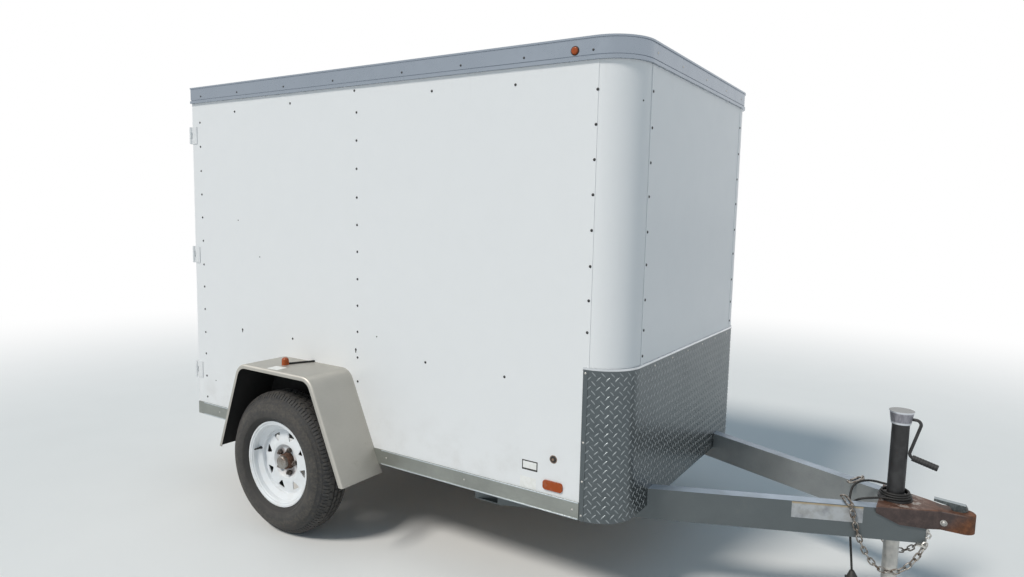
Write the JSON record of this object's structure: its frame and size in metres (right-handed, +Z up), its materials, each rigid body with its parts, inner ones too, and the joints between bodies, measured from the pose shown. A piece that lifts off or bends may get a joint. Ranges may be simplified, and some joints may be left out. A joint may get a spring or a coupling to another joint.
{
  "type": "enclosed cargo trailer",
  "caption": "Single-axle enclosed cargo trailer with rounded front corners, tread-plate stone guard, A-frame tongue with coupler and jack, and rear double doors.",
  "frame": {"origin": "on the ground under the middle of the overall length and width", "axes": "+X forward to the hitch, +Y to the left side, +Z up"},
  "size_m": [3.7626, 2.024, 2.193],
  "materials": {
    "frame_aluminium": "mill finish, dulled",
    "white_skin": "gloss white",
    "trim_aluminium": "satin extruded",
    "tread_plate": "bright tread plate",
    "floor_wood": "plywood",
    "zinc_steel": "zinc plated",
    "tyre_rubber": "matt, dusty",
    "white_wheel": "white enamel",
    "rusty_steel": "rusted",
    "black_steel": "worn black paint",
    "black_coating": "matt black",
    "amber_lens": "moulded lens",
    "black_plastic": "moulded",
    "red_lens": "moulded lens",
    "chain_steel": "weathered zinc",
    "black_cable": "jacketed cable"
  },
  "bodies": {
    "trailer": {"axle_arms": "black_steel", "axle_beam": "black_steel", "chain_bracket": "zinc_steel", "coupler": "rusty_steel", "coupler_latch": "zinc_steel", "cross_members": "frame_aluminium", "fender_lamps": "amber_lens", "fender_left": "frame_aluminium", "fender_right": "frame_aluminium", "floor": "floor_wood", "front_corners": "white_skin", "front_rail": "frame_aluminium", "front_wall": "white_skin", "guard_cap": "trim_aluminium", "hinge_leaves": "zinc_steel", "jack_cap": "zinc_steel", "jack_crank": "black_steel", "jack_post": "black_steel", "lock_keepers": "zinc_steel", "marker_lamps": "amber_lens", "rear_header": "frame_aluminium", "rear_posts": "frame_aluminium", "rear_sill": "frame_aluminium", "roof": "white_skin", "roof_trim": "trim_aluminium", "safety_chains": "chain_steel", "side_rails": "frame_aluminium", "side_reflectors": "amber_lens", "side_vent": "black_plastic", "side_wall_left": "white_skin", "side_wall_right": "white_skin", "stone_guard": "tread_plate", "tail_lamps": "red_lens", "tongue_left": "frame_aluminium", "tongue_right": "frame_aluminium", "wheel_liners": "black_coating", "wiring_feed": "black_cable", "wiring_gland": "black_plastic", "wiring_plug": "black_plastic", "wiring_tail": "black_cable", "wiring_turns": "black_cable"},
    "wheel_right": {"tyre_right": "tyre_rubber", "rim_right": "white_wheel", "hub_right": "rusty_steel"},
    "wheel_left": {"tyre_left": "tyre_rubber", "rim_left": "white_wheel", "hub_left": "rusty_steel"},
    "jack_leg": {"jack_leg": "zinc_steel"},
    "door_right": {"door_panel_right": "white_skin", "door_fittings_right": "zinc_steel", "lock_bar_right": "zinc_steel"},
    "door_left": {"door_panel_left": "white_skin", "door_fittings_left": "zinc_steel", "lock_bar_left": "zinc_steel"}
  },
  "joints": [
    {"name": "wheel_right_spin", "type": "hinge", "parent": "trailer", "child": "wheel_right", "pos_m": [-0.90275, -0.904, 0.344], "axis": [0, 1, 0], "continuous": true},
    {"name": "wheel_left_spin", "type": "hinge", "parent": "trailer", "child": "wheel_left", "pos_m": [-0.90275, 0.904, 0.344], "axis": [0, 1, 0], "continuous": true},
    {"name": "jack_slide", "type": "slide", "parent": "trailer", "child": "jack_leg", "axis": [0, 0, 1], "range_m": [0, 0.25]},
    {"name": "door_right_swing", "type": "hinge", "parent": "trailer", "child": "door_right", "pos_m": [-1.84525, -0.7645, 0.479], "axis": [0, 0, 1], "range_deg": [0, 240]},
    {"name": "door_left_swing", "type": "hinge", "parent": "trailer", "child": "door_left", "pos_m": [-1.84525, 0.7645, 0.479], "axis": [0, 0, -1], "range_deg": [0, 240]}
  ]
}
